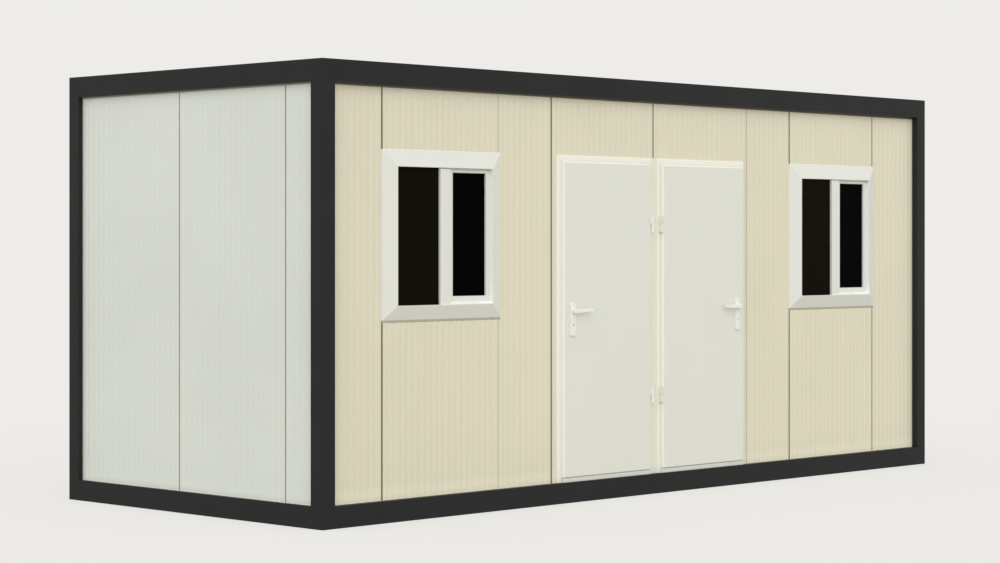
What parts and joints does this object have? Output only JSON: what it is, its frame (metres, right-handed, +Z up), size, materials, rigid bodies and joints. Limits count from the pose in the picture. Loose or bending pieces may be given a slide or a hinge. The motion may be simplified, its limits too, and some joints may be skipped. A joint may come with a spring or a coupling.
{
  "type": "portable site cabin",
  "caption": "Portable site cabin with a dark steel frame, cream insulated panel walls, side-by-side white doors that swing outward and sliding windows.",
  "frame": {"origin": "middle of the footprint on the ground, on the underside of the middle floor joist", "axes": "+X along the front wall to the right, -Y out of the front wall, +Z up"},
  "size_m": [6.058, 2.468, 2.717],
  "materials": {
    "frame": "matt anthracite paint",
    "floor": "sealed floor boards",
    "joists": "primed steel",
    "roof": "coated sheet, satin",
    "long_wall": "cream coated sheet, finely ribbed",
    "end_wall": "pale grey coated sheet, finely ribbed",
    "door_frame": "white paint, satin",
    "door_leaf": "white paint, satin",
    "hinges": "white paint, satin",
    "handles": "white powder coat",
    "window_trim": "white window plastic",
    "window_frame": "white window plastic",
    "window_sash": "white window plastic",
    "glass": "dark window glass"
  },
  "bodies": {
    "cabin": {"post_front_left": "frame", "post_front_right": "frame", "post_back_left": "frame", "post_back_right": "frame", "bottom_beam_front": "frame", "bottom_beam_back": "frame", "bottom_beam_left": "frame", "bottom_beam_right": "frame", "top_beam_front": "frame", "top_beam_back": "frame", "top_beam_left": "frame", "top_beam_right": "frame", "floor_deck": "floor", "floor_joists": "joists", "roof_panel": "roof", "front_edge_panel_left": "long_wall", "front_window_panel_left": "long_wall", "front_half_panel_left": "long_wall", "front_door_head_left": "long_wall", "front_door_head_right": "long_wall", "front_door_strips": "long_wall", "front_half_panel_right": "long_wall", "front_window_panel_right": "long_wall", "front_edge_panel_right": "long_wall", "back_wall": "long_wall", "left_end_wall": "end_wall", "right_end_wall": "end_wall", "door_frame_left": "door_frame", "door_frame_right": "door_frame", "door_hinge_pins_left": "hinges", "door_hinge_pins_right": "hinges", "window_trim_left": "window_trim", "window_trim_right": "window_trim", "window_frame_left": "window_frame", "window_frame_right": "window_frame", "window_sash_left": "window_sash", "window_sash_right": "window_sash", "window_glass_left": "glass", "window_glass_right": "glass", "sash_glass_left": "glass", "sash_glass_right": "glass"},
    "door_left": {"door_leaf_left": "door_leaf", "door_handle_plates_left": "handles"},
    "lever_left": {"door_lever_left": "handles"},
    "door_right": {"door_leaf_right": "door_leaf", "door_handle_plates_right": "handles"},
    "lever_right": {"door_lever_right": "handles"}
  },
  "joints": [
    {"name": "door_left_hinge", "type": "hinge", "parent": "cabin", "child": "door_left", "pos_m": [-0.091, -1.211, 1.2145], "axis": [0, 0, 1], "range_deg": [0, 90]},
    {"name": "door_right_hinge", "type": "hinge", "parent": "cabin", "child": "door_right", "pos_m": [0.001, -1.211, 1.2145], "axis": [0, 0, -1], "range_deg": [0, 90]},
    {"name": "lever_left_turn", "type": "hinge", "parent": "door_left", "child": "lever_left", "pos_m": [-0.881, -1.206, 1.22], "axis": [0, 1, 0], "range_deg": [0, 40], "stiffness_Nm_per_rad": 1.5, "springref_deg": -17.19},
    {"name": "lever_right_turn", "type": "hinge", "parent": "door_right", "child": "lever_right", "pos_m": [0.791, -1.206, 1.22], "axis": [0, -1, 0], "range_deg": [0, 40], "stiffness_Nm_per_rad": 1.5, "springref_deg": -17.19}
  ]
}
